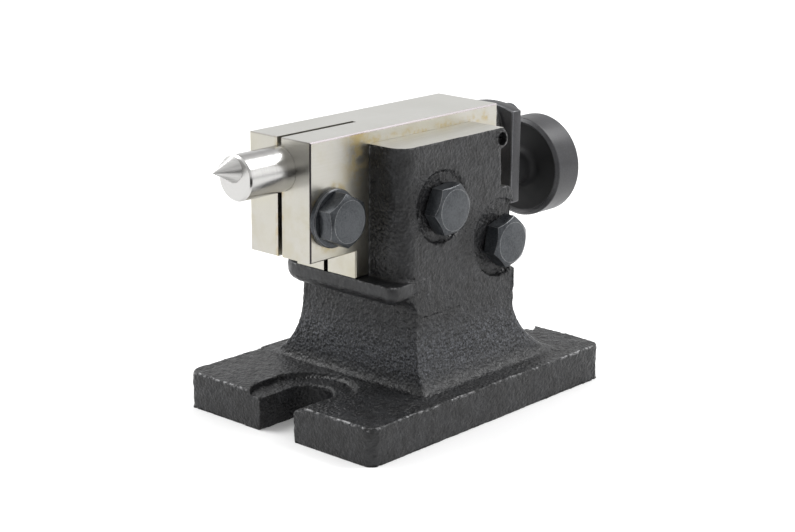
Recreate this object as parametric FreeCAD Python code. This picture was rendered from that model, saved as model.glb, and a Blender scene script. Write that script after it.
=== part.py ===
"""Adjustable tailstock with a fixed, raised point, for use beside a rotary table or dividing head.

A ground steel block sits between the two walls of a cast iron base. It lifts and tilts about the
front clamp bolt. The quill slides in the block, moved by a screw and knob through a yoke plate.

Frame: +Z up, the point faces -X, the bolt heads face -Y. The origin is on the underside of the base,
below the quill, half-way along the base. Millimetres.
"""

import FreeCAD, Part
import math
import os

V = FreeCAD.Vector
X_AXIS, Y_AXIS, Z_AXIS = V(1, 0, 0), V(0, 1, 0), V(0, 0, 1)
GAP = 0.3            # free gap between faces of pieces that move past each other
FIT = 0.05           # running fit, on the radius
SLIP = 0.08          # flat sliding fit, each side

# base plate
BASE_LENGTH, BASE_WIDTH, BASE_HEIGHT = 148.0, 104.0, 16.2
BASE_CORNER = 5.0
BASE_EDGE = 1.2
SLOT_WIDTH = 18.5
SLOT_END = 55.0      # centre of each slot's round end, from mid-length
SPOT_RADIUS, SPOT_DEPTH, SPOT_OUTER = 18.8, 2.2, 61.5

# column and channel
COLUMN_FRONT = -31.0
COLUMN_REAR_LOW, COLUMN_REAR_TOP = 30.8, 31.6
FAR_FACE = 27.6
NEAR_FACE_LOW, NEAR_FACE_TOP = -36.6, -33.8
LOW_TOP = 46.5       # where the flared foot meets the walls
WALL_TOP = 116.0
WALL_FRONT = -38.0
LEDGE_FRONT, LEDGE_TOP, LEDGE_BOTTOM = -45.2, 62.5, 54.0
FLOOR_RELIEF, RELIEF_START = 56.0, -16.0
NECK_REAR, NECK_BOTTOM = 23.4, 91.6
EYE_X, EYE_Z, EYE_RADIUS = 23.4, 111.3, 4.7
# foot flare on each side: how far it reaches, how high it starts, and its fullness (2 is an ellipse)
FLARE_FRONT = (2.5, 5.0, 2.0)
FLARE_REAR = (26.0, 24.0, 1.4)
FLARE_NEAR = (6.5, 14.0, 2.0)
FLARE_FAR = (24.4, 29.5, 2.0)

# block
BLOCK_WIDTH = 33.0
BLOCK_FRONT, BLOCK_STEP, BLOCK_REAR = -70.6, -45.2, 41.3
BLOCK_TOP, NOSE_BOTTOM, BLOCK_BOTTOM = 121.2, 73.7, 62.8
BLOCK_EDGE = 0.5
SLIT_WIDTH, SLIT_END = 2.3, -28.8

# quill, yoke plate, feed screw, knob
QUILL_RADIUS, QUILL_Z = 9.0, 108.8
QUILL_END = -94.2
POINT_LENGTH, POINT_RADIUS = 9.8, 5.3
POINT_SIDE, POINT_RAISE = 1.2, 3.4
YOKE_FRONT, YOKE_THICK, YOKE_HALF = 55.0, 6.0, 14.0
YOKE_MID, YOKE_CORNER, YOKE_CROWN = 95.2, 20.0, 22.6
FEED_Z, FEED_RADIUS, FEED_TIP = 85.4, 5.0, 13.0
JOURNAL_RADIUS, COLLAR_RADIUS, COLLAR_THICK = 4.0, 7.0, 2.5
NUT_RADIUS, NUT_FRONT, NUT_REAR = 7.6, 32.9, 37.6
DOWEL_RADIUS, DOWEL_Z = 1.5, 102.6
THRUST_THICK = 1.0
KNOB_FRONT, KNOB_REAR, KNOB_RADIUS, HUB_RADIUS = 77.5, 94.2, 22.0, 7.0
PIN_RADIUS = 1.5
YOKE_SCREW_RADIUS, YOKE_SCREW_DEPTH = 4.0, 16.0

# clamp bolts, metric 12, 19 across flats
BOLT_RADIUS, BOLT_HOLE, HEX_FLATS, HEAD_HEIGHT = 6.0, 6.75, 19.0, 7.5
PIVOT_X, PIVOT_Z = -13.3, 89.0
REAR_X, REAR_Z = 23.8, 68.7
CLAMP_X, CLAMP_Z = -59.2, 90.2
SEAT_Y = -32.9       # bottom of the bolt head recesses
PIVOT_RECESS = (-14.3, 89.6, 14.4)     # centre and radius
REAR_RECESS = (22.2, 70.2, 15.9)
WASHER_RADIUS, WASHER_THICK = 11.7, 2.4
BUSH_RADIUS = 8.0
TIP_PROUD = 1.5      # how far the bolts stand out of the far wall
REAR_SLOT_FRONT, REAR_SLOT_REAR, REAR_SLOT_TOP = 16.9, 32.2, 78.6
SET_SCREW_RADIUS, SET_SCREW_DEPTH = 2.75, 2.4

HALF_CHANNEL = BLOCK_WIDTH / 2 + SLIP
HALF_BLOCK = BLOCK_WIDTH / 2


def save(shape, name):
    """Write one sub-part as parts/NAME.step."""
    shape.exportStep(f"parts/{name}.step")


def box(x0, x1, y0, y1, z0, z1):
    """A box between two corners."""
    return Part.makeBox(x1 - x0, y1 - y0, z1 - z0, V(x0, y0, z0))


def cylinder(radius, start, end):
    """A cylinder between two points."""
    axis = end - start
    return Part.makeCylinder(radius, axis.Length, start, axis)


def along_y(radius, x, z, y0, y1):
    """A cylinder along Y."""
    return cylinder(radius, V(x, y0, z), V(x, y1, z))


def along_x(radius, z, x0, x1):
    """A cylinder along X in the middle plane."""
    return cylinder(radius, V(x0, 0, z), V(x1, 0, z))


def rounded_wire(corners, place):
    """A closed wire through corners (a, b, radius), each radius an arc; place(a, b) gives the point."""
    count = len(corners)
    ends = []
    for i in range(count):
        a, b, radius = corners[i]
        here = V(a, b, 0)
        back = V(corners[i - 1][0], corners[i - 1][1], 0) - here
        ahead = V(corners[(i + 1) % count][0], corners[(i + 1) % count][1], 0) - here
        back.normalize()
        ahead.normalize()
        half = back.getAngle(ahead) / 2
        reach = radius / math.tan(half)
        middle = back + ahead
        if radius > 0:
            middle.normalize()
            mid = here + middle * (radius / math.sin(half) - radius)
            ends.append((here + back * reach, mid, here + ahead * reach))
        else:
            ends.append((here, None, here))
    edges = []
    for i in range(count):
        start, mid, end = ends[i]
        following = ends[(i + 1) % count][0]
        if mid is not None:
            edges.append(Part.Arc(place(start.x, start.y), place(mid.x, mid.y), place(end.x, end.y)).toShape())
        edges.append(Part.LineSegment(place(end.x, end.y), place(following.x, following.y)).toShape())
    return Part.Wire(edges)


def side_plate(corners, y0, y1):
    """A plate whose outline is drawn in X and Z and which spans y0 to y1."""
    wire = rounded_wire(corners, lambda x, z: V(x, y0, z))
    return Part.Face(wire).extrude(V(0, y1 - y0, 0))


def slot_cutter(width, x_end, x_out, z0, z1):
    """A U shape open towards x_out, round at x_end."""
    low, high = sorted((x_end, x_out))
    bar = box(low, high, -width / 2, width / 2, z0, z1)
    return bar.fuse(cylinder(width / 2, V(x_end, 0, z0), V(x_end, 0, z1)))


def pick(shape, test):
    """Edges whose middle point passes a test."""
    chosen = []
    for edge in shape.Edges:
        middle = edge.valueAt((edge.FirstParameter + edge.LastParameter) / 2)
        if test(middle):
            chosen.append(edge)
    return chosen


def flare_offset(flare, height):
    """How far the foot stands out at a height above the base plate: a quarter of a rounded curve."""
    reach, rise, power = flare
    if height >= rise:
        return 0.0
    drop = (rise - height) / rise
    return reach * (1 - max(0.0, 1 - drop**power) ** (1 / power))


def foot():
    """The flared lower column, lofted through rounded rectangles."""
    sections = 10
    wires = []
    for i in range(sections):
        height = (LOW_TOP - BASE_HEIGHT) * (i / (sections - 1)) ** 1.6
        z = BASE_HEIGHT + height
        rear_out = flare_offset(FLARE_REAR, height)
        x0 = COLUMN_FRONT - flare_offset(FLARE_FRONT, height)
        x1 = COLUMN_REAR_LOW + rear_out
        y0 = NEAR_FACE_LOW - flare_offset(FLARE_NEAR, height)
        y1 = FAR_FACE + flare_offset(FLARE_FAR, height)
        corner = 0.3 + 1.2 * (1 - i / (sections - 1))
        rear_radius = corner + rear_out * 0.15
        far_radius = corner + rear_out * 0.5
        corners = [(x0, y0, corner), (x1, y0, rear_radius), (x1, y1, far_radius), (x0, y1, corner)]
        wires.append(rounded_wire(corners, lambda a, b, z=z: V(a, b, z)))
    return Part.makeLoft(wires, True, False)


def ledge():
    """The lip across the front at the channel floor, with rounded ends."""
    lip = box(LEDGE_FRONT, COLUMN_FRONT + 8, NEAR_FACE_LOW, FAR_FACE, LEDGE_BOTTOM, LEDGE_TOP)
    upright = pick(lip, lambda m: m.x < LEDGE_FRONT + 0.1 and m.y > FAR_FACE - 0.1)
    lip = lip.makeFillet(10.0, upright)
    upright = pick(lip, lambda m: m.x < LEDGE_FRONT + 0.1 and m.y < NEAR_FACE_LOW + 0.1)
    lip = lip.makeFillet(4.0, upright)
    under = pick(lip, lambda m: m.z < LEDGE_BOTTOM + 0.1 and m.y > 10 and m.x < COLUMN_FRONT + 7)
    return lip.makeFillet(5.0, under)


def walls():
    """Both walls as one plate: side outline with the waisted rear edge, near face leaning in."""
    outline = [
        (COLUMN_FRONT, LOW_TOP - 0.5, 0),
        (COLUMN_FRONT, LEDGE_BOTTOM, 5.0),
        (WALL_FRONT, LEDGE_BOTTOM, 0),
        (WALL_FRONT, WALL_TOP, 0),
        (NECK_REAR, WALL_TOP, 0),
        (NECK_REAR, NECK_BOTTOM, 1.0),
        (COLUMN_REAR_TOP, NECK_BOTTOM, 4.5),
        (COLUMN_REAR_LOW, LOW_TOP - 0.5, 0),
    ]
    plate = side_plate(outline, NEAR_FACE_LOW, FAR_FACE)
    for y0, y1 in ((NEAR_FACE_LOW, -HALF_CHANNEL), (HALF_CHANNEL, FAR_FACE)):
        plate = plate.fuse(along_y(EYE_RADIUS, EYE_X, EYE_Z, y0, y1))
    rise, out = 30.0, 30.0
    low = LOW_TOP - 0.5
    lean = [V(-60, NEAR_FACE_LOW, low), V(-60, NEAR_FACE_TOP, WALL_TOP), V(-60, NEAR_FACE_TOP, WALL_TOP + rise)]
    lean += [V(-60, NEAR_FACE_LOW - out, WALL_TOP + rise), V(-60, NEAR_FACE_LOW - out, low)]
    wedge = Part.Face(Part.makePolygon(lean + [lean[0]])).extrude(V(120, 0, 0))
    plate = plate.cut(wedge)
    corner = pick(plate, lambda m: abs(m.x - WALL_FRONT) < 0.1 and m.y < NEAR_FACE_TOP + 0.5 and m.z > 70)
    return plate.makeFillet(8.0, corner)


def spot_face(side):
    """The shallow recess round one U slot, on which a nut and washer sit; side is -1 or 1."""
    low, high = BASE_HEIGHT - SPOT_DEPTH, LOW_TOP
    inner = cylinder(SPOT_RADIUS, V(side * SLOT_END, 0, low), V(side * SLOT_END, 0, high))
    outer = cylinder(SPOT_RADIUS, V(side * SPOT_OUTER, 0, low), V(side * SPOT_OUTER, 0, high))
    start, end = sorted((side * SLOT_END, side * SPOT_OUTER))
    return inner.fuse(outer).fuse(box(start, end, -SPOT_RADIUS, SPOT_RADIUS, low, high))


def base_casting():
    """Base plate, flared foot, walls, ledge, channel, slots, recesses and bolt holes."""
    half_l, half_w = BASE_LENGTH / 2, BASE_WIDTH / 2
    plate = box(-half_l, half_l, -half_w, half_w, 0, BASE_HEIGHT)
    uprights = pick(plate, lambda m: abs(m.z - BASE_HEIGHT / 2) < 0.1)
    plate = plate.makeFillet(BASE_CORNER, uprights)
    top_edges = pick(plate, lambda m: m.z > BASE_HEIGHT - 0.1)
    plate = plate.makeFillet(BASE_EDGE, top_edges)
    body = plate.fuse([foot(), walls(), ledge()])

    channel = box(-80, 80, -HALF_CHANNEL, HALF_CHANNEL, LEDGE_TOP, WALL_TOP + 10)
    relief = box(RELIEF_START, 80, -HALF_CHANNEL, HALF_CHANNEL, FLOOR_RELIEF, LEDGE_TOP + 1)
    cutters = [channel, relief]
    for side in (-1, 1):
        cutters.append(slot_cutter(SLOT_WIDTH, side * SLOT_END, side * (half_l + 5), -1, BASE_HEIGHT + 1))
        cutters.append(spot_face(side))
    for x, z, recess in ((PIVOT_X, PIVOT_Z, PIVOT_RECESS), (REAR_X, REAR_Z, REAR_RECESS)):
        cutters.append(along_y(recess[2], recess[0], recess[1], -60, SEAT_Y))
        cutters.append(along_y(BOLT_HOLE, x, z, -60, 0))
        cutters.append(along_y(BOLT_RADIUS + FIT, x, z, 0, 60))
    cutters.append(along_y(SET_SCREW_RADIUS + FIT, EYE_X, EYE_Z, -60, 0))
    for cutter in cutters:
        body = body.cut(cutter)
    return body


def quill_block():
    """Ground block: raised nose, clamp slit, quill bore, feed screw hole and bolt slots."""
    outline = [
        (BLOCK_FRONT, NOSE_BOTTOM, 0),
        (BLOCK_FRONT, BLOCK_TOP, 0),
        (BLOCK_REAR, BLOCK_TOP, 0),
        (BLOCK_REAR, BLOCK_BOTTOM, 0),
        (BLOCK_STEP, BLOCK_BOTTOM, 0),
        (BLOCK_STEP, NOSE_BOTTOM, 0),
    ]
    block = side_plate(outline, -HALF_BLOCK, HALF_BLOCK)
    block = block.makeChamfer(BLOCK_EDGE, pick(block, lambda m: abs(abs(m.y) - HALF_BLOCK) < 0.1))
    slot_half = BUSH_RADIUS + FIT
    cutters = [
        box(BLOCK_FRONT - 5, SLIT_END, -SLIT_WIDTH / 2, SLIT_WIDTH / 2, BLOCK_BOTTOM - 5, BLOCK_TOP + 5),
        along_x(QUILL_RADIUS + FIT, QUILL_Z, BLOCK_FRONT - 5, BLOCK_REAR + 5),
        along_x(FEED_RADIUS + 0.6, FEED_Z, -1.0, BLOCK_REAR + 5),
        along_x(NUT_RADIUS, FEED_Z, NUT_FRONT, BLOCK_REAR + 5),
        along_y(slot_half, PIVOT_X, PIVOT_Z, -30, 30),
        box(PIVOT_X - slot_half, PIVOT_X + slot_half, -30, 30, BLOCK_BOTTOM - 5, PIVOT_Z),
        side_plate(
            [
                (REAR_SLOT_FRONT, BLOCK_BOTTOM - 5, 0),
                (REAR_SLOT_FRONT, REAR_SLOT_TOP, 5.0),
                (REAR_SLOT_REAR, REAR_SLOT_TOP, 5.0),
                (REAR_SLOT_REAR, BLOCK_BOTTOM - 5, 0),
            ],
            -30,
            30,
        ),
        along_y(BOLT_HOLE, CLAMP_X, CLAMP_Z, -30, 0),
        along_y(BOLT_RADIUS + FIT, CLAMP_X, CLAMP_Z, 0, 14.0),
    ]
    return block.cut(cutters)


def quill():
    """Round quill with a raised 60 degree point on its front end and a tapped rear end."""
    bar = along_x(QUILL_RADIUS, QUILL_Z, QUILL_END, YOKE_FRONT)
    bar = bar.makeChamfer(0.7, pick(bar, lambda m: abs(m.y) > 8.9 or abs(m.z - QUILL_Z) > 8.9))
    base = V(QUILL_END + 0.05, POINT_SIDE, QUILL_Z + POINT_RAISE)
    point = Part.makeCone(POINT_RADIUS, 0.15, POINT_LENGTH + 0.05, base, V(-1, 0, 0))
    tapped = along_x(YOKE_SCREW_RADIUS, QUILL_Z, YOKE_FRONT - YOKE_SCREW_DEPTH - 3, YOKE_FRONT + 1)
    dowel_hole = along_x(DOWEL_RADIUS + 0.01, DOWEL_Z, YOKE_FRONT - 5.5, YOKE_FRONT + 1)
    return bar.fuse(point).cut(tapped).cut(dowel_hole)


def yoke_plate():
    """Plate across the quill's rear end, with arched ends; the feed screw turns in its lower hole."""
    low, high = YOKE_MID - YOKE_CORNER, YOKE_MID + YOKE_CORNER
    x, half = YOKE_FRONT, YOKE_HALF
    edges = [
        Part.LineSegment(V(x, -half, low), V(x, -half, high)).toShape(),
        Part.Arc(V(x, -half, high), V(x, 0, YOKE_MID + YOKE_CROWN), V(x, half, high)).toShape(),
        Part.LineSegment(V(x, half, high), V(x, half, low)).toShape(),
        Part.Arc(V(x, half, low), V(x, 0, YOKE_MID - YOKE_CROWN), V(x, -half, low)).toShape(),
    ]
    plate = Part.Face(Part.Wire(edges)).extrude(V(YOKE_THICK, 0, 0))
    plate = plate.makeChamfer(0.4, pick(plate, lambda m: m.x < x + 0.1 or m.x > x + YOKE_THICK - 0.1))
    holes = [
        along_x(JOURNAL_RADIUS + FIT, FEED_Z, x - 1, x + YOKE_THICK + 1),
        along_x(YOKE_SCREW_RADIUS + 0.3, QUILL_Z, x - 1, x + YOKE_THICK + 1),
        along_x(DOWEL_RADIUS + 0.01, DOWEL_Z, x - 1, x + YOKE_THICK - 0.4),
    ]
    return plate.cut(holes)


def yoke_screw():
    """Socket head screw that holds the yoke plate on the quill."""
    rear = YOKE_FRONT + YOKE_THICK + 2.0
    shank = along_x(YOKE_SCREW_RADIUS, QUILL_Z, YOKE_FRONT - YOKE_SCREW_DEPTH, rear)
    head = along_x(6.5, QUILL_Z, rear, rear + 8.0)
    head = head.makeChamfer(0.6, pick(head, lambda m: m.x > rear + 7.9))
    return shank.fuse(head).cut(hexagon(6.0, V(rear + 4.0, 0, QUILL_Z), V(6, 0, 0), 0)).removeSplitter()


def spring_washer():
    """Split spring washer under the yoke screw's head."""
    front = YOKE_FRONT + YOKE_THICK
    ring = along_x(6.4, QUILL_Z, front, front + 2.0).cut(along_x(4.2, QUILL_Z, front - 1, front + 3))
    gap = box(front - 1, front + 3, -0.5, 0.5, QUILL_Z + 3, QUILL_Z + 8)
    return ring.cut(gap)


def feed_nut():
    """Bronze threaded bush pressed into the block, below its rear face."""
    ring = along_x(NUT_RADIUS, FEED_Z, NUT_FRONT, NUT_REAR)
    return ring.cut(along_x(FEED_RADIUS + FIT, FEED_Z, NUT_FRONT - 1, NUT_REAR + 1))


def yoke_dowel():
    """Dowel between quill and yoke plate, so that the plate can't turn on its screw."""
    return along_x(DOWEL_RADIUS, DOWEL_Z, YOKE_FRONT - 5.0, YOKE_FRONT + YOKE_THICK - 0.5)


def ring_x(outer, inner, z, x0, x1):
    """A plain ring along X."""
    return along_x(outer, z, x0, x1).cut(along_x(inner, z, x0 - 1, x1 + 1))


def feed_screw():
    """Screw in the block, with a collar in front of the yoke plate and a journal into the knob."""
    collar_rear = YOKE_FRONT - 0.1 - THRUST_THICK
    collar_front = collar_rear - COLLAR_THICK
    thread = along_x(FEED_RADIUS, FEED_Z, FEED_TIP, collar_front + 0.1)
    thread = thread.makeChamfer(1.0, pick(thread, lambda m: m.x < FEED_TIP + 0.1))
    collar = along_x(COLLAR_RADIUS, FEED_Z, collar_front, collar_rear)
    journal = along_x(JOURNAL_RADIUS, FEED_Z, collar_rear - 0.1, KNOB_REAR - 3.0)
    pin_hole = cylinder(PIN_RADIUS + 0.01, V(70, 0, FEED_Z - 20), V(70, 0, FEED_Z + 20))
    return thread.fuse([collar, journal]).cut(pin_hole).removeSplitter()


def knob():
    """Turned knob: hub towards the yoke, dished front face, broad smooth rim, dished rear."""
    hub_front = YOKE_FRONT + YOKE_THICK + 0.1 + THRUST_THICK
    outline = [
        (hub_front, JOURNAL_RADIUS + 0.02, 0),
        (hub_front, HUB_RADIUS, 0.5),
        (KNOB_FRONT + 1.5, HUB_RADIUS, 3.0),
        (KNOB_FRONT + 1.5, KNOB_RADIUS - 2.6, 0.8),
        (KNOB_FRONT, KNOB_RADIUS - 1.6, 0.3),
        (KNOB_FRONT + 1.6, KNOB_RADIUS, 0.8),
        (KNOB_REAR, KNOB_RADIUS, 2.0),
        (KNOB_REAR, KNOB_RADIUS - 4.5, 0.8),
        (KNOB_REAR - 2.5, KNOB_RADIUS - 6.5, 1.0),
        (KNOB_REAR - 2.5, JOURNAL_RADIUS + 0.02, 0),
    ]
    wire = rounded_wire(outline, lambda x, r: V(x, 0, FEED_Z + r))
    turned = Part.Face(wire).revolve(V(0, 0, FEED_Z), X_AXIS, 360)
    pin_hole = cylinder(PIN_RADIUS + 0.01, V(70, 0, FEED_Z - 20), V(70, 0, FEED_Z + 20))
    return turned.cut(pin_hole)


def knob_pin():
    """Spring pin through the hub and the feed screw."""
    reach = HUB_RADIUS - 0.2
    return cylinder(PIN_RADIUS, V(70, 0, FEED_Z - reach), V(70, 0, FEED_Z + reach))


def hexagon(flats, centre, depth, turn):
    """A hexagonal prism; depth is its vector, turn its rotation in degrees."""
    radius = flats / math.sqrt(3)
    axis = V(depth.x, depth.y, depth.z)
    axis.normalize()
    side = Z_AXIS.cross(axis)
    up = axis.cross(side)
    points = []
    for i in range(7):
        angle = math.radians(turn + 60 * i)
        points.append(centre + side * (radius * math.cos(angle)) + up * (radius * math.sin(angle)))
    return Part.Face(Part.makePolygon(points)).extrude(depth)


def hex_bolt(x, z, under_head, tip, turn):
    """Hex bolt along Y, head towards -Y, with a chamfered head, a washer face and a chamfered tip."""
    face = under_head - HEAD_HEIGHT
    head = hexagon(HEX_FLATS, V(x, under_head - 0.5, z), V(0, 0.5 - HEAD_HEIGHT, 0), turn)
    slope = math.tan(math.radians(30))
    small = HEX_FLATS / 2 - 1.1
    height = 12.0
    cone = Part.makeCone(small, small + height / slope, height, V(x, face, z), V(0, 1, 0))
    head = head.common(cone)
    pad = along_y(HEX_FLATS / 2 - 0.4, x, z, under_head - 0.6, under_head)
    shank = along_y(BOLT_RADIUS, x, z, under_head - 0.1, tip)
    shank = shank.makeChamfer(1.0, pick(shank, lambda m: m.y > tip - 0.1))
    return head.fuse([pad, shank]).removeSplitter()


def flat_washer(x, z, y0, y1):
    """Plain washer along Y."""
    ring = along_y(WASHER_RADIUS, x, z, y0, y1)
    ring = ring.makeChamfer(0.4, pick(ring, lambda m: m.y < y0 + 0.1))
    return ring.cut(along_y(BOLT_HOLE - 0.25, x, z, y0 - 1, y1 + 1))


def pivot_bush():
    """Bush on the front clamp bolt; the block slides up and tilts on it."""
    half = HALF_BLOCK - 0.1
    tube = along_y(BUSH_RADIUS, PIVOT_X, PIVOT_Z, -half, half)
    return tube.cut(along_y(BOLT_RADIUS + FIT, PIVOT_X, PIVOT_Z, -30, 30))


def side_set_screw():
    """Slotted set screw sunk in the near wall's rear eye."""
    inner = -HALF_BLOCK - GAP
    head = NEAR_FACE_TOP + SET_SCREW_DEPTH
    screw = along_y(SET_SCREW_RADIUS, EYE_X, EYE_Z, head, inner)
    slot = box(EYE_X - 5, EYE_X + 5, head - 1, head + 1.2, EYE_Z - 0.4, EYE_Z + 0.4)
    return screw.cut(slot)


def main():
    os.makedirs("parts", exist_ok=True)
    thrust_front = YOKE_FRONT - 0.1 - THRUST_THICK
    thrust_rear = YOKE_FRONT + YOKE_THICK + 0.1
    washer_inner = -HALF_BLOCK - 0.1
    far_tip = FAR_FACE + TIP_PROUD
    pieces = {
        "base_casting": base_casting(),
        "quill_block": quill_block(),
        "feed_nut": feed_nut(),
        "quill": quill(),
        "yoke_plate": yoke_plate(),
        "yoke_dowel": yoke_dowel(),
        "yoke_screw": yoke_screw(),
        "yoke_spring_washer": spring_washer(),
        "feed_screw": feed_screw(),
        "front_thrust_washer": ring_x(7.0, JOURNAL_RADIUS + 0.1, FEED_Z, thrust_front, thrust_front + THRUST_THICK),
        "rear_thrust_washer": ring_x(7.0, JOURNAL_RADIUS + 0.1, FEED_Z, thrust_rear, thrust_rear + THRUST_THICK),
        "knob": knob(),
        "knob_pin": knob_pin(),
        "quill_clamp_bolt": hex_bolt(CLAMP_X, CLAMP_Z, washer_inner - WASHER_THICK, 13.0, 33),
        "quill_clamp_washer": flat_washer(CLAMP_X, CLAMP_Z, washer_inner - WASHER_THICK, washer_inner),
        "pivot_clamp_bolt": hex_bolt(PIVOT_X, PIVOT_Z, SEAT_Y - 0.1, far_tip, 4.8),
        "pivot_bush": pivot_bush(),
        "rear_clamp_bolt": hex_bolt(REAR_X, REAR_Z, SEAT_Y - 0.1, far_tip, 17.8),
        "side_set_screw": side_set_screw(),
    }
    for name, shape in pieces.items():
        print(f"{name:22s} solids {len(shape.Solids)} valid {shape.isValid()} volume {shape.Volume / 1000:.2f} cm3")
        save(shape, name)


main()
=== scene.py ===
import math

import bmesh
import bpy
import numpy as np
from mathutils import Matrix, Vector, kdtree, noise


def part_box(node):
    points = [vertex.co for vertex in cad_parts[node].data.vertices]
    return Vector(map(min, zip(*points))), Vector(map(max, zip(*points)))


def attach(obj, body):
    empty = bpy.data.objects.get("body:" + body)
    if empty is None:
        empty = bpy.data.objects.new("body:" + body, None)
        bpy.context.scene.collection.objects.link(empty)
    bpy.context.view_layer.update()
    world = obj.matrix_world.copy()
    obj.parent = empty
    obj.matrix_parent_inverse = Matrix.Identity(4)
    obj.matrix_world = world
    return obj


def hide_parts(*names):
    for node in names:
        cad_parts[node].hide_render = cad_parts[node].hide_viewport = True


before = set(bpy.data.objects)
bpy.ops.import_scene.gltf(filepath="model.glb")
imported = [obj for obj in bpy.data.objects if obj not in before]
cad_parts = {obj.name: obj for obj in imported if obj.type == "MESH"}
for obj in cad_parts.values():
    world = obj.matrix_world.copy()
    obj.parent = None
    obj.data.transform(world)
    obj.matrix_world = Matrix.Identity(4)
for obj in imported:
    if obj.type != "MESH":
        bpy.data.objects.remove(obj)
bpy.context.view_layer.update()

scene = bpy.context.scene
MM = 0.001

# sizes in millimetres that the looks need, in the row frame
BASE_HALF_LENGTH, BASE_HALF_WIDTH, BASE_TOP, BASE_EDGE = 74.0, 52.0, 16.2, 1.2
FOOT_TOP, WALL_TOP = 46.3, 116.0
CHANNEL_FLOOR, CHANNEL_FRONT = 54.0, -44.8
LEDGE_LOW, LEDGE_HIGH, LEDGE_REAR = 53.6, 62.6, -34.0
BLOCK_HALF, BLOCK_TOP, BLOCK_FRONT = 16.5, 121.2, -70.6
CHAMFER = 0.53
QUILL_Z, QUILL_END = 108.8, -94.2
FEED_Z = 85.4
CLAMP_X, CLAMP_Z = -59.2, 90.2
# holes through the walls: centre in X and Z, and the radius left untouched round it
BORES = (((-13.3, 89.0), 7.3), ((23.8, 68.7), 6.4), ((23.4, 111.3), 3.4))
MERGE, CAST_SIDE, RELAX_ROUNDS = 0.25, 0.95, 9
# the casting's rough skin: size and depth of each layer of bumps, and where its noise starts
SKIN_LAYERS = ((17.0, 0.34, 3.1), (4.6, 0.20, 7.7), (2.1, 0.20, 1.3), (1.25, 0.12, 9.2))


# ---------------------------------------------------------------- camera
def make_camera():
    """The photograph's viewpoint: 49 degrees round from the front, 16 degrees up."""
    az, el, dist, roll = -0.8545, 0.2792, 0.79731, 0.0126
    target = Vector((0.009741, -0.003184, 0.051084))
    back = Vector((math.sin(az) * math.cos(el), -math.cos(az) * math.cos(el), math.sin(el)))
    data = bpy.data.cameras.new("camera")
    cam = bpy.data.objects.new("camera", data)
    scene.collection.objects.link(cam)
    right = Vector((math.cos(az), math.sin(az), 0.0)).normalized()
    up = back.cross(right).normalized()
    rolled_right = right * math.cos(roll) + up * math.sin(roll)
    rolled_up = up * math.cos(roll) - right * math.sin(roll)
    place = Matrix((rolled_right, rolled_up, back)).transposed().to_4x4()
    place.translation = target + back * dist
    cam.matrix_world = place
    data.sensor_fit = "HORIZONTAL"
    data.sensor_width = 36.0
    data.lens = 85.55185
    data.shift_x, data.shift_y = -0.030717, 0.0086918
    data.clip_start = 0.05
    data.clip_end = 20.0
    scene.camera = cam


make_camera()


# ---------------------------------------------------------------- material graphs
class Graph:
    """Short calls for building one procedural material."""

    def __init__(self, name):
        self.material = bpy.data.materials.new(name)
        self.material.use_nodes = True
        self.tree = self.material.node_tree
        self.shader = self.tree.nodes["Principled BSDF"]
        self.at = self.add("ShaderNodeTexCoord").outputs["Object"]

    def add(self, kind, inputs=(), **props):
        node = self.tree.nodes.new(kind)
        for key, value in props.items():
            setattr(node, key, value)
        for key, value in dict(inputs).items():
            self.put(node.inputs[key], value)
        return node

    def put(self, socket, value):
        if isinstance(value, bpy.types.NodeSocket):
            self.tree.links.new(value, socket)
        else:
            socket.default_value = value

    def noise(self, scale, detail=2.0, stretch=(1, 1, 1), rough=0.5, at=None):
        where = at or self.at
        if tuple(stretch) != (1, 1, 1):
            where = self.add("ShaderNodeMapping", {"Vector": where, "Scale": stretch}).outputs["Vector"]
        inputs = {"Vector": where, "Scale": scale, "Detail": detail, "Roughness": rough}
        return self.add("ShaderNodeTexNoise", inputs).outputs["Fac"]

    def cells(self, scale):
        made = self.add("ShaderNodeTexVoronoi", {"Vector": self.at, "Scale": scale}, feature="SMOOTH_F1")
        made.inputs["Smoothness"].default_value = 0.6
        return made.outputs["Distance"]

    def calc(self, operation, a, b=0.0):
        return self.add("ShaderNodeMath", {0: a, 1: b}, operation=operation).outputs[0]

    def span(self, value, low, high, to_low=0.0, to_high=1.0):
        made = self.add("ShaderNodeMapRange", {"Value": value, "From Min": low, "From Max": high,
                                               "To Min": to_low, "To Max": to_high})
        made.interpolation_type = "SMOOTHSTEP"
        return made.outputs["Result"]

    def mix(self, factor, a, b):
        made = self.add("ShaderNodeMix", data_type="RGBA")
        self.put(made.inputs[0], factor)
        for i, value in ((6, a), (7, b)):
            if not isinstance(value, bpy.types.NodeSocket):
                value = (*value, 1.0)
            self.put(made.inputs[i], value)
        return made.outputs[2]

    def bump(self, height, distance, strength=1.0):
        inputs = {"Height": height, "Distance": distance, "Strength": strength}
        return self.add("ShaderNodeBump", inputs).outputs["Normal"]

    def xyz(self):
        made = self.add("ShaderNodeSeparateXYZ", {"Vector": self.at})
        return made.outputs[0], made.outputs[1], made.outputs[2]

    def attribute(self, name):
        return self.add("ShaderNodeAttribute", attribute_name=name).outputs["Fac"]

    def finish(self, color, rough, normal=None, metal=0.0, **constants):
        self.put(self.shader.inputs["Base Color"], color)
        self.put(self.shader.inputs["Roughness"], rough)
        self.put(self.shader.inputs["Metallic"], metal)
        if normal is not None:
            self.put(self.shader.inputs["Normal"], normal)
        for key, value in constants.items():
            self.shader.inputs[key.replace("_", " ")].default_value = value
        return self.material


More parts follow.
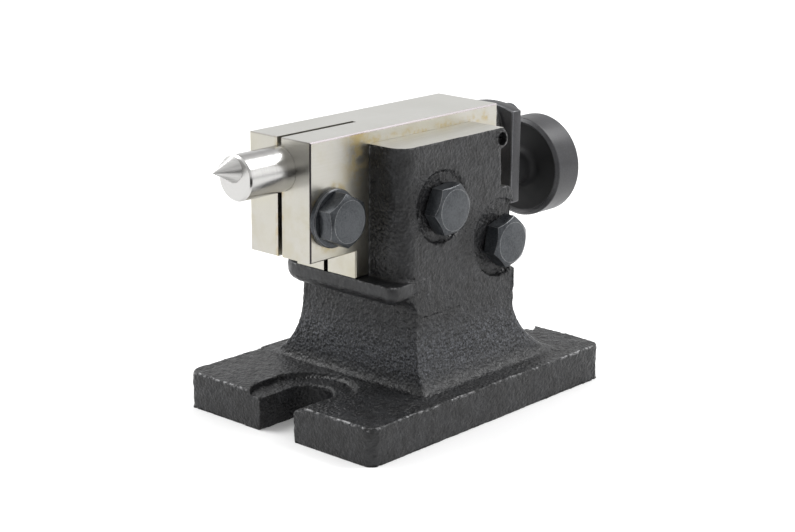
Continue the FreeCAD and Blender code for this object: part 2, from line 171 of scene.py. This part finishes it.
def casting_look():
    """Satin black paint on rough cast iron, bare where the wall tops are machined, worn on edges."""
    g = Graph("casting_paint")
    z = g.xyz()[2]
    tone = g.noise(160.0, 4.0)
    paint = g.mix(g.span(tone, 0.35, 0.7), (0.0065, 0.0065, 0.007), (0.0145, 0.015, 0.0165))
    flare = g.calc("MULTIPLY", g.span(z, 0.0165, 0.024), g.span(z, 0.048, 0.030))
    # Painted highlight: a light blue-grey speckle across the foot's flare stands in for the top light's
    # sparkle on its rough upward-facing skin.
    painted_flare_sheen = g.calc("MULTIPLY", flare, g.span(g.noise(1150.0, 3.0, rough=0.65), 0.44, 0.64))
    paint = g.mix(g.calc("MULTIPLY", painted_flare_sheen, 0.8), paint, (0.095, 0.100, 0.113))
    grain = g.noise(900.0, 3.0, rough=0.6)
    pits = g.cells(780.0)
    height = g.calc("ADD", grain, g.calc("MULTIPLY", pits, 0.8))
    cast = g.attribute("cast")
    normal = g.bump(height, 0.00050, g.span(cast, 0.0, 1.0, 0.10, 0.95))
    rough = g.span(g.noise(420.0, 3.0), 0.3, 0.7, 0.30, 0.50)
    worn = g.calc("MULTIPLY", g.attribute("edge"), g.span(g.noise(620.0, 3.0), 0.48, 0.62))
    chips = g.calc("MULTIPLY", worn, g.span(g.noise(95.0, 2.0), 0.4, 0.6, 0.25, 1.0))
    top = g.span(z, 0.11588, 0.11592)
    lines = g.noise(1.0, 2.0, stretch=(60.0, 2600.0, 2600.0))
    bare = g.mix(g.span(lines, 0.3, 0.7), (0.50, 0.495, 0.46), (0.58, 0.575, 0.54))
    color = g.mix(chips, paint, (0.27, 0.27, 0.275))
    color = g.mix(top, color, bare)
    metal = g.calc("MAXIMUM", g.calc("MULTIPLY", chips, 0.6), top)
    painted = g.calc("MULTIPLY", rough, g.calc("SUBTRACT", 1.0, top))
    rough = g.calc("ADD", painted, g.calc("MULTIPLY", top, 0.36))
    return g.finish(color, rough, normal, metal, Specular_IOR_Level=0.42)


def ground_steel_look():
    """Surface-ground steel: fine lines along the block, oil stains where the wall and washer meet it."""
    g = Graph("ground_steel")
    x, y, z = g.xyz()
    lines = g.noise(1.0, 2.0, stretch=(9.0, 2400.0, 2400.0))
    cloud = g.noise(38.0, 3.0)
    color = g.mix(g.span(lines, 0.3, 0.7), (0.425, 0.412, 0.375), (0.445, 0.434, 0.400))
    color = g.mix(g.span(cloud, 0.35, 0.75, 0.0, 0.6), color, (0.46, 0.44, 0.36))
    patch = g.noise(95.0, 5.0, rough=0.6)
    color = g.mix(g.span(patch, 0.45, 0.7, 0.0, 0.7), color, (0.40, 0.375, 0.30))
    # Painted highlight: the block's top face is coloured lighter than its sides, for the light falling on it
    # from above.
    painted_lit_top = g.span(z, 0.12105, 0.12115)
    color = g.mix(painted_lit_top, color, g.mix(g.span(cloud, 0.3, 0.7), (0.50, 0.495, 0.46), (0.54, 0.535, 0.505)))
    near = g.calc("LESS_THAN", y, -0.0163)
    band = g.calc("SUBTRACT", 1.0, g.span(g.calc("ABSOLUTE", g.calc("SUBTRACT", z, 0.1168)), 0.0, 0.0034))
    band = g.calc("MULTIPLY", band, g.calc("GREATER_THAN", x, -0.046))
    front = g.calc("SUBTRACT", 1.0, g.span(g.calc("ABSOLUTE", g.calc("ADD", x, 0.0440)), 0.0, 0.0130))
    front = g.calc("MULTIPLY", front, g.span(z, 0.090, 0.112))
    dx = g.calc("SUBTRACT", x, CLAMP_X * MM)
    dz = g.calc("SUBTRACT", z, CLAMP_Z * MM)
    ring = g.calc("SQRT", g.calc("ADD", g.calc("MULTIPLY", dx, dx), g.calc("MULTIPLY", dz, dz)))
    ring = g.calc("SUBTRACT", 1.0, g.span(ring, 0.0112, 0.0152))
    where = g.calc("MAXIMUM", g.calc("MAXIMUM", band, front), ring)
    where = g.calc("MULTIPLY", where, near)
    slit = g.calc("MULTIPLY", g.calc("SUBTRACT", 1.0, g.span(g.calc("ABSOLUTE", y), 0.0012, 0.0034)),
                  g.calc("LESS_THAN", x, -0.070))
    where = g.calc("MAXIMUM", where, g.calc("MULTIPLY", slit, 0.7))
    blot = g.span(g.noise(210.0, 4.0, rough=0.6), 0.42, 0.66)
    stain = g.calc("MULTIPLY", where, blot)
    color = g.mix(g.calc("MULTIPLY", stain, 0.75), color, (0.40, 0.305, 0.12))
    # Painted reflection: the chamfers along the near top edge, the near front edge and, more faintly, the
    # top front edge are coloured dark for the dark surroundings reflected in them.
    edge = g.calc("GREATER_THAN", g.calc("SUBTRACT", z, y), (BLOCK_HALF + BLOCK_TOP - CHAMFER) * MM)
    side = g.calc("GREATER_THAN", g.calc("MULTIPLY", g.calc("ADD", x, y), -1.0),
                  (BLOCK_HALF - BLOCK_FRONT - CHAMFER) * MM)
    brow = g.calc("GREATER_THAN", g.calc("SUBTRACT", z, x), (BLOCK_TOP - BLOCK_FRONT - CHAMFER) * MM)
    edges = g.calc("MAXIMUM", edge, g.calc("MAXIMUM", side, g.calc("MULTIPLY", brow, 0.35)))
    color = g.mix(g.calc("MULTIPLY", edges, 0.9), color, (0.09, 0.078, 0.088))
    rough = g.span(lines, 0.25, 0.75, 0.28, 0.33)
    rough = g.calc("ADD", rough, g.calc("MULTIPLY", stain, 0.15))
    normal = g.bump(patch, 0.00006, 0.25)
    return g.finish(color, rough, normal, 1.0)


def turned_steel_look():
    """Bright turned steel: rings round the quill, circles on its end face, streaks on the point."""
    g = Graph("turned_steel")
    x, y, z = g.xyz()
    rings = g.noise(1.0, 3.0, stretch=(2600.0, 30.0, 30.0))
    dz = g.calc("SUBTRACT", z, QUILL_Z * MM)
    radius = g.calc("SQRT", g.calc("ADD", g.calc("MULTIPLY", y, y), g.calc("MULTIPLY", dz, dz)))
    circle_at = g.add("ShaderNodeCombineXYZ", {"X": g.calc("MULTIPLY", radius, 2600.0)}).outputs[0]
    circles = g.noise(1.0, 2.0, at=circle_at)
    face = g.calc("LESS_THAN", x, (QUILL_END + 0.3) * MM)
    pattern = g.calc("ADD", g.calc("MULTIPLY", rings, g.calc("SUBTRACT", 1.0, face)),
                     g.calc("MULTIPLY", circles, face))
    color = g.mix(g.span(pattern, 0.3, 0.7), (0.455, 0.45, 0.44), (0.515, 0.51, 0.50))
    point = g.calc("LESS_THAN", x, (QUILL_END - 0.05) * MM)
    rough = g.calc("ADD", g.span(pattern, 0.25, 0.75, 0.20, 0.27), g.calc("MULTIPLY", point, 0.13))
    return g.finish(color, rough, g.bump(g.noise(300.0, 2.0), 0.00001, 0.2), 1.0)


def satin_black_look(name, low, high, rough_low=0.34, rough_high=0.46, stretch=(1, 1, 1), metal=0.35):
    """Chemically blackened steel with a faint machined grain and cloudy tone."""
    g = Graph(name)
    fine = g.noise(1400.0, 3.0, stretch=stretch)
    cloud = g.noise(130.0, 3.0)
    tone = g.calc("ADD", g.calc("MULTIPLY", fine, 0.5), g.calc("MULTIPLY", cloud, 0.5))
    color = g.mix(g.span(tone, 0.35, 0.65), low, high)
    rough = g.span(cloud, 0.3, 0.7, rough_low, rough_high)
    return g.finish(color, rough, g.bump(fine, 0.00004, 0.5), metal)


def knob_look():
    """Blackened steel, duller inside the dish, with painted shade darkening its colour there."""
    g = Graph("knob_black")
    x, y, z = g.xyz()
    dz = g.calc("SUBTRACT", z, FEED_Z * MM)
    radius = g.calc("SQRT", g.calc("ADD", g.calc("MULTIPLY", y, y), g.calc("MULTIPLY", dz, dz)))
    dish = g.calc("MULTIPLY", g.span(radius, 0.0192, 0.0202, 1.0, 0.0), g.span(x, 0.084, 0.086, 1.0, 0.0))
    fine = g.noise(1400.0, 3.0)
    cloud = g.noise(130.0, 3.0)
    tone = g.span(g.calc("ADD", g.calc("MULTIPLY", fine, 0.5), g.calc("MULTIPLY", cloud, 0.5)), 0.35, 0.65)
    # Painted shade: the dish on the knob's front face is coloured near black for the shadow of the plate and
    # block; it is also made rougher.
    color = g.mix(dish, g.mix(tone, (0.020, 0.020, 0.022), (0.034, 0.034, 0.038)), (0.008, 0.008, 0.009))
    rough = g.calc("ADD", g.span(cloud, 0.3, 0.7, 0.36, 0.46), g.calc("MULTIPLY", dish, 0.25))
    return g.finish(color, rough, g.bump(fine, 0.00005, 0.5), 0.2)


def bronze_look():
    g = Graph("bronze")
    rings = g.noise(1.0, 2.0, stretch=(2200.0, 40.0, 2200.0))
    color = g.mix(g.span(rings, 0.3, 0.7), (0.50, 0.29, 0.11), (0.62, 0.38, 0.16))
    return g.finish(color, g.span(rings, 0.3, 0.7, 0.28, 0.42), g.bump(rings, 0.00001, 0.5), 1.0)


def floor_look():
    g = Graph("paper")
    tone = g.noise(25.0, 3.0)
    color = g.mix(tone, (0.86, 0.86, 0.86), (0.885, 0.885, 0.885))
    return g.finish(color, 0.7, None, 0.0, Specular_IOR_Level=0.2)


PAINT = casting_look()
GROUND = ground_steel_look()
TURNED = turned_steel_look()
BRONZE = bronze_look()
KNOB = knob_look()
SATIN = satin_black_look("dark_steel", (0.026, 0.026, 0.028), (0.042, 0.042, 0.046), 0.36, 0.48)
OXIDE = satin_black_look("black_oxide", (0.024, 0.027, 0.031), (0.060, 0.065, 0.071), 0.26, 0.38, metal=0.55)
RUBBED = satin_black_look("rubbed_edge", (0.07, 0.073, 0.078), (0.20, 0.205, 0.21), 0.26, 0.40, metal=0.8)
RIM = satin_black_look("rubbed_rim", (0.085, 0.086, 0.092), (0.15, 0.152, 0.16), 0.30, 0.42, metal=0.7)

NODE_LOOKS = {
    "quill_block": GROUND,
    "quill": TURNED,
    "feed_nut": BRONZE,
    "pivot_bush": TURNED,
    "front_thrust_washer": BRONZE,
    "rear_thrust_washer": BRONZE,
    "knob": KNOB,
    "knob_pin": TURNED,
    "yoke_screw": OXIDE,
    "yoke_dowel": TURNED,
    "yoke_spring_washer": OXIDE,
    "side_set_screw": PAINT,
}
for node_name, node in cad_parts.items():
    node.data.materials.clear()
    node.data.materials.append(NODE_LOOKS.get(node_name, OXIDE))


# ---------------------------------------------------------------- mesh tools
def mesh_arrays(node_name, merge=0.002):
    """A CAD node's points and triangles in millimetres; points closer than merge become one."""
    bm = bmesh.new()
    bm.from_mesh(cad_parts[node_name].data)
    bmesh.ops.remove_doubles(bm, verts=bm.verts, dist=merge * MM)
    bmesh.ops.triangulate(bm, faces=bm.faces)
    points = np.array([v.co for v in bm.verts]) / MM
    tris = np.array([[v.index for v in f.verts] for f in bm.faces])
    bm.free()
    return points, tris


def tri_normals(points, tris):
    a, b, c = points[tris[:, 0]], points[tris[:, 1]], points[tris[:, 2]]
    return np.cross(b - a, c - a)


def point_normals(points, tris):
    total = np.zeros_like(points)
    faces = tri_normals(points, tris)
    for k in range(3):
        for axis in range(3):
            total[:, axis] += np.bincount(tris[:, k], faces[:, axis], len(points))
    return total / np.maximum(np.linalg.norm(total, axis=1, keepdims=True), 1e-12)


def split_long(points, tris, tags, limit):
    """Halve the longest sides, pass by pass, until none is longer than limit."""
    while True:
        sides = np.stack([tris, np.roll(tris, -1, axis=1)], axis=2)
        lengths = np.linalg.norm(points[sides[:, :, 0]] - points[sides[:, :, 1]], axis=2)
        longest = lengths.argmax(axis=1)
        rows = np.arange(len(tris))
        wanted = lengths[rows, longest] > limit
        if not wanted.any():
            return points, tris, tags
        key = np.sort(sides, axis=2)
        key = key[:, :, 0].astype(np.int64) * len(points) + key[:, :, 1]
        marked = np.unique(key[rows, longest][wanted])
        where = np.searchsorted(marked, key)
        where[where == len(marked)] = 0
        cut = marked[where] == key
        middle = np.stack([marked // len(points), marked % len(points)], axis=1)
        fresh = points[middle].mean(axis=1)
        mids = where + len(points)
        points = np.concatenate([points, fresh])
        count = cut.sum(axis=1)
        parts = [tris[count == 0]]
        owners = [tags[count == 0]]
        for turn in range(3):
            v = np.roll(tris, -turn, axis=1)
            m = np.roll(mids, -turn, axis=1)
            c = np.roll(cut, -turn, axis=1)
            one = (count == 1) & c[:, 0]
            parts += [np.stack([v[one, 0], m[one, 0], v[one, 2]], 1),
                      np.stack([m[one, 0], v[one, 1], v[one, 2]], 1)]
            owners += [tags[one]] * 2
            two = (count == 2) & ~c[:, 2]
            parts += [np.stack([m[two, 0], v[two, 1], m[two, 1]], 1),
                      np.stack([v[two, 0], m[two, 0], m[two, 1]], 1),
                      np.stack([v[two, 0], m[two, 1], v[two, 2]], 1)]
            owners += [tags[two]] * 3
        full = count == 3
        v, m = tris[full], mids[full]
        parts += [np.stack([v[:, 0], m[:, 0], m[:, 2]], 1), np.stack([m[:, 0], v[:, 1], m[:, 1]], 1),
                  np.stack([m[:, 2], m[:, 1], v[:, 2]], 1), np.stack([m[:, 0], m[:, 1], m[:, 2]], 1)]
        owners += [tags[full]] * 4
        tris = np.concatenate(parts)
        tags = np.concatenate(owners)


def relax(points, tris, weight, rounds, share=0.5):
    """Pull each point towards the middle of its neighbours, as far as its weight lets it."""
    a = np.concatenate([tris[:, 0], tris[:, 1], tris[:, 2]])
    b = np.concatenate([tris[:, 1], tris[:, 2], tris[:, 0]])
    number = np.maximum(np.bincount(a, minlength=len(points)), 1)[:, None]
    for _ in range(rounds):
        total = np.stack([np.bincount(a, points[b, k], len(points)) for k in range(3)], axis=1)
        points = points + (total / number - points) * (share * weight)[:, None]
    return points


def make_piece(name, points, faces, material, sharp=35.0):
    """A mesh object from points in millimetres."""
    mesh = bpy.data.meshes.new(name)
    mesh.from_pydata((points * MM).tolist(), [], [tuple(face) for face in faces])
    mesh.update()
    mesh.polygons.foreach_set("use_smooth", np.ones(len(mesh.polygons), bool))
    mesh.set_sharp_from_angle(angle=math.radians(sharp))
    mesh.materials.append(material)
    piece = bpy.data.objects.new(name, mesh)
    scene.collection.objects.link(piece)
    return piece


def add_attribute(piece, name, values):
    made = piece.data.attributes.new(name, "FLOAT", "POINT")
    made.data.foreach_set("value", values.astype(np.float32))


# ---------------------------------------------------------------- the casting
def ridge_samples(points, tris, normals, middle):
    """Points along the casting's sharp convex edges, where paint wears first; none at the foot's top."""
    sides = np.concatenate([tris[:, [0, 1]], tris[:, [1, 2]], tris[:, [2, 0]]])
    owner = np.tile(np.arange(len(tris)), 3)
    key = np.sort(sides, axis=1)
    order = np.lexsort((key[:, 1], key[:, 0]))
    key, owner = key[order], owner[order]
    same = np.flatnonzero((key[1:] == key[:-1]).all(axis=1))
    left, right = owner[same], owner[same + 1]
    sharp = (normals[left] * normals[right]).sum(axis=1) < math.cos(math.radians(40))
    sharp &= np.abs(points[key[same]][:, :, 2].mean(axis=1) - FOOT_TOP) > 1.2
    convex = ((middle[right] - middle[left]) * normals[left]).sum(axis=1) < -1e-6
    samples = []
    for a, b in points[key[same][sharp & convex]]:
        steps = max(2, int(np.linalg.norm(b - a) / 0.5))
        samples += [a + (b - a) * t for t in np.linspace(0, 1, steps)]
    return samples


def wear_amount(points, samples):
    """How worn each point is: along ridges, and most along the base plate's top edge."""
    tree = kdtree.KDTree(len(samples))
    for i, sample in enumerate(samples):
        tree.insert(sample, i)
    tree.balance()
    z = points[:, 2]
    rim = np.maximum(np.abs(points[:, 0]) - BASE_HALF_LENGTH, np.abs(points[:, 1]) - BASE_HALF_WIDTH)
    plate_edge = np.exp(-(((rim + 0.55) / 0.6) ** 2)) * (z > BASE_TOP - 1.3) * (z < BASE_TOP + 0.5)
    ridge = np.array([max(0.0, 1.0 - tree.find(p)[2] / 1.1) for p in points])
    return np.maximum(0.6 * ridge * (z > 5.0), plate_edge)


def skin_depth(points):
    """Depth of the rough skin at each point, from four sizes of bumps."""
    skin = np.zeros(len(points))
    for size, depth, seed in SKIN_LAYERS:
        shift = Vector((seed, seed * 2, seed * 3))
        rough = [noise.noise(Vector(p) / size + shift) for p in points]
        skin += depth * np.clip(0.5 + 0.9 * np.array(rough), 0, 1)
    return skin


def keep_in_plate(points):
    """Let the far side of the foot run out smoothly, and hold every point inside the rounded plate edge."""
    fade = np.clip((points[:, 1] - 38.0) / 9.0, 0.0, 1.0)
    fade = 1.0 - fade * fade * (3.0 - 2.0 * fade)
    above = points[:, 2] > BASE_TOP - 0.3
    points[above, 2] = (BASE_TOP - 0.3) + (points[above, 2] - BASE_TOP + 0.3) * fade[above]
    over = np.clip(points[:, 2] - (BASE_TOP - BASE_EDGE), 0.0, BASE_EDGE)
    inset = BASE_EDGE - np.sqrt(np.maximum(BASE_EDGE**2 - over**2, 0.0))
    points[:, 1] = np.clip(points[:, 1], inset - BASE_HALF_WIDTH, BASE_HALF_WIDTH - inset)
    points[:, 0] = np.clip(points[:, 0], inset - BASE_HALF_LENGTH, BASE_HALF_LENGTH - inset)


def casting_piece():
    """The casting with its rough skin: soft edges and a pitted, wavy surface, machined faces left true."""
    points, tris = mesh_arrays("base_casting", merge=MERGE)
    normals = tri_normals(points, tris)
    normals /= np.maximum(np.linalg.norm(normals, axis=1, keepdims=True), 1e-12)
    middle = points[tris].mean(axis=1)
    underneath = middle[:, 2] < 0.05
    wall_tops = (middle[:, 2] > WALL_TOP - 0.1) & (normals[:, 2] > 0.9)
    channel = np.abs(middle[:, 1]) < BLOCK_HALF + 0.3
    channel &= (middle[:, 2] > CHANNEL_FLOOR) & (middle[:, 0] > CHANNEL_FRONT)
    machined = underneath | wall_tops | channel
    samples = ridge_samples(points, tris, normals, middle)

    points, tris, machined = split_long(points, tris, machined, CAST_SIDE)
    free = np.ones(len(points))
    free[tris[machined].ravel()] = 0.0
    underside = points[:, 2] < 0.05
    free[underside] = 1.0
    for (x, z), radius in BORES:
        free[np.hypot(points[:, 0] - x, points[:, 2] - z) <= radius] = 0.0
    lip = (points[:, 2] > LEDGE_LOW) & (points[:, 2] < LEDGE_HIGH) & (points[:, 0] < LEDGE_REAR)
    points = relax(points, tris, free * np.where(lip, 0.5, 1.0), RELAX_ROUNDS)
    points[underside, 2] = 0.0
    edge = wear_amount(points, samples)

    skin = skin_depth(points) * (free * np.where(lip, 0.3, 1.0))
    inward = point_normals(points, tris)
    flat = np.hypot(inward[:, 0], inward[:, 1])
    rims = underside & (flat > 0.1)
    inward[rims] /= np.maximum(flat[rims], 0.1)[:, None]
    points = points - inward * skin[:, None]
    points[underside, 2] = 0.0
    keep_in_plate(points)

    piece = make_piece("casting_body", points, tris, PAINT, 50.0)
    add_attribute(piece, "cast", free * np.where(lip, 0.25, 1.0))
    add_attribute(piece, "edge", edge)
    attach(piece, "base")
    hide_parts("base_casting")


casting_piece()


# ---------------------------------------------------------------- bevelled steel pieces
def bevelled_piece(node_name, body, width, main, rubbed):
    """A CAD node with its sharp corners broken by a small bevel that shows rubbed metal."""
    bm = bmesh.new()
    bm.from_mesh(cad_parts[node_name].data)
    bmesh.ops.remove_doubles(bm, verts=bm.verts, dist=2e-6)
    bmesh.ops.dissolve_limit(bm, angle_limit=math.radians(0.3), verts=bm.verts, edges=bm.edges)
    corners = [e for e in bm.edges if len(e.link_faces) == 2 and e.calc_face_angle(0.0) > math.radians(22)]
    bmesh.ops.bevel(bm, geom=corners, offset=width * MM, segments=2, profile=0.5, affect="EDGES",
                    clamp_overlap=True, material=1)
    mesh = bpy.data.meshes.new(node_name + "_finished")
    bm.to_mesh(mesh)
    bm.free()
    mesh.polygons.foreach_set("use_smooth", np.ones(len(mesh.polygons), bool))
    mesh.set_sharp_from_angle(angle=math.radians(24))
    mesh.materials.append(main)
    mesh.materials.append(rubbed)
    piece = bpy.data.objects.new(node_name + "_finished", mesh)
    scene.collection.objects.link(piece)
    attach(piece, body)
    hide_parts(node_name)


for clamp in ("quill_clamp", "pivot_clamp", "rear_clamp"):
    bevelled_piece(clamp + "_bolt", clamp, 0.13, OXIDE, RUBBED)
bevelled_piece("quill_clamp_washer", "quill_clamp", 0.12, OXIDE, RIM)
bevelled_piece("yoke_plate", "quill", 0.22, SATIN, RIM)


# ---------------------------------------------------------------- feed screw with its thread
def feed_screw_piece():
    """One turned surface: threaded length, collar and journal."""
    low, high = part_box("feed_screw")
    tip, tail = low.x / MM, high.x / MM
    around, pitch, depth = 48, 1.5, 0.9
    thread, collar, journal, chamfer = 5.0, 7.0, 4.0, 0.3
    collar_front, collar_rear = 51.4, 53.9
    rings = []
    steps = int((collar_front - tip) / pitch * 10)
    for i in range(steps + 1):
        x = tip + (collar_front - tip) * i / steps
        rings.append((x, thread, True))
    plain = [(collar_front, collar - chamfer), (collar_front + chamfer, collar),
             (collar_rear - chamfer, collar), (collar_rear, collar - chamfer),
             (collar_rear, journal), (tail - 0.6, journal), (tail, journal - 0.6)]
    rings += [(x, radius, False) for x, radius in plain]
    points = []
    for x, radius, threaded in rings:
        taper = min(1.0, (x - tip) / 1.0)
        for k in range(around):
            angle = 2 * math.pi * k / around
            r = radius
            if threaded:
                phase = (x / pitch - k / around) % 1.0
                ridge = min(1.0, max(0.0, abs(phase - 0.5) * 2.6 - 0.15))
                r = min(radius - depth * (1 - ridge), 4.0 + taper)
            points.append((x, r * math.sin(angle), FEED_Z + r * math.cos(angle)))
    faces = []
    for i in range(len(rings) - 1):
        for k in range(around):
            a, b = i * around + k, i * around + (k + 1) % around
            faces.append((a, b, b + around, a + around))
    faces.append(tuple(range(around))[::-1])
    faces.append(tuple((len(rings) - 1) * around + k for k in range(around)))
    piece = make_piece("feed_screw_threaded", np.array(points), faces, TURNED, 30.0)
    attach(piece, "feed")
    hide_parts("feed_screw")


feed_screw_piece()


# ---------------------------------------------------------------- stage
def stage():
    """White paper floor and a bright tent all round, with a brighter window to the front right."""
    mesh = bpy.data.meshes.new("floor")
    mesh.from_pydata([(-4, -4, 0), (4, -4, 0), (4, 4, 0), (-4, 4, 0)], [], [(0, 1, 2, 3)])
    floor = bpy.data.objects.new("floor", mesh)
    mesh.materials.append(floor_look())
    scene.collection.objects.link(floor)

    world = bpy.data.worlds.new("tent")
    world.use_nodes = True
    tree = world.node_tree
    coords = tree.nodes.new("ShaderNodeTexCoord")
    split = tree.nodes.new("ShaderNodeSeparateXYZ")
    ramp = tree.nodes.new("ShaderNodeValToRGB")
    ramp.color_ramp.elements[0].position = 0.0
    ramp.color_ramp.elements[0].color = (1.0, 1.0, 1.0, 1)
    ramp.color_ramp.elements[1].position = 0.95
    ramp.color_ramp.elements[1].color = (1.0, 1.0, 1.0, 1)
    for place, level in ((0.36, 1.05), (0.5, 0.6), (0.6, 0.6), (0.72, 0.95)):
        new = ramp.color_ramp.elements.new(place)
        new.color = (level, level, level, 1)
    window = tree.nodes.new("ShaderNodeVectorMath")
    window.operation = "DOT_PRODUCT"
    window.inputs[1].default_value = (0.725, -0.635, 0.26)
    glow = tree.nodes.new("ShaderNodeMapRange")
    glow.inputs["From Min"].default_value = 0.955
    glow.inputs["From Max"].default_value = 0.985
    glow.inputs["To Min"].default_value = 1.0
    glow.inputs["To Max"].default_value = 1.7
    tree.links.new(coords.outputs["Generated"], window.inputs[0])
    tree.links.new(window.outputs["Value"], glow.inputs["Value"])
    tree.links.new(glow.outputs["Result"], tree.nodes["Background"].inputs["Strength"])
    tree.links.new(coords.outputs["Generated"], split.inputs[0])
    tree.links.new(split.outputs["Z"], ramp.inputs["Fac"])
    tree.links.new(ramp.outputs["Color"], tree.nodes["Background"].inputs["Color"])
    scene.world = world


def soft_box(name, place, target, size, power):
    data = bpy.data.lights.new(name, "AREA")
    data.size = size
    data.energy = power
    lamp = bpy.data.objects.new(name, data)
    lamp.location = place
    lamp.rotation_euler = (Vector(target) - Vector(place)).to_track_quat("-Z", "Y").to_euler()
    scene.collection.objects.link(lamp)


def dark_card():
    """A black card in front, seen only in reflections, which gives the metal its dark streaks."""
    g = Graph("card")
    tone = g.noise(20.0, 2.0)
    color = g.mix(tone, (0.01, 0.01, 0.01), (0.02, 0.02, 0.02))
    black = g.finish(color, 0.9, None, 0.0, Specular_IOR_Level=0.0)
    toward = Vector((-0.754, -0.657, 0.0))
    across = Vector((0.657, -0.754, 0.0))
    distance, half_width, bottom, top = 0.25, 0.20, 0.002, 0.115
    corners = []
    for side, height in ((-1, bottom), (1, bottom), (1, top), (-1, top)):
        corners.append(toward * distance + across * (half_width * side) + Vector((0, 0, height)))
    mesh = bpy.data.meshes.new("card")
    mesh.from_pydata([tuple(c) for c in corners], [], [(0, 1, 2, 3)])
    mesh.materials.append(black)
    card = bpy.data.objects.new("card", mesh)
    scene.collection.objects.link(card)
    card.visible_camera = False
    card.visible_diffuse = False
    card.visible_shadow = False
    card.visible_transmission = False


stage()
dark_card()
soft_box("key", (0.72, -0.38, 1.05), (0, 0, 0.05), 0.7, 12.0)
soft_box("back", (-0.32, 0.78, 0.95), (0, 0, 0.05), 0.7, 11.0)
scene.view_settings.view_transform = "Standard"
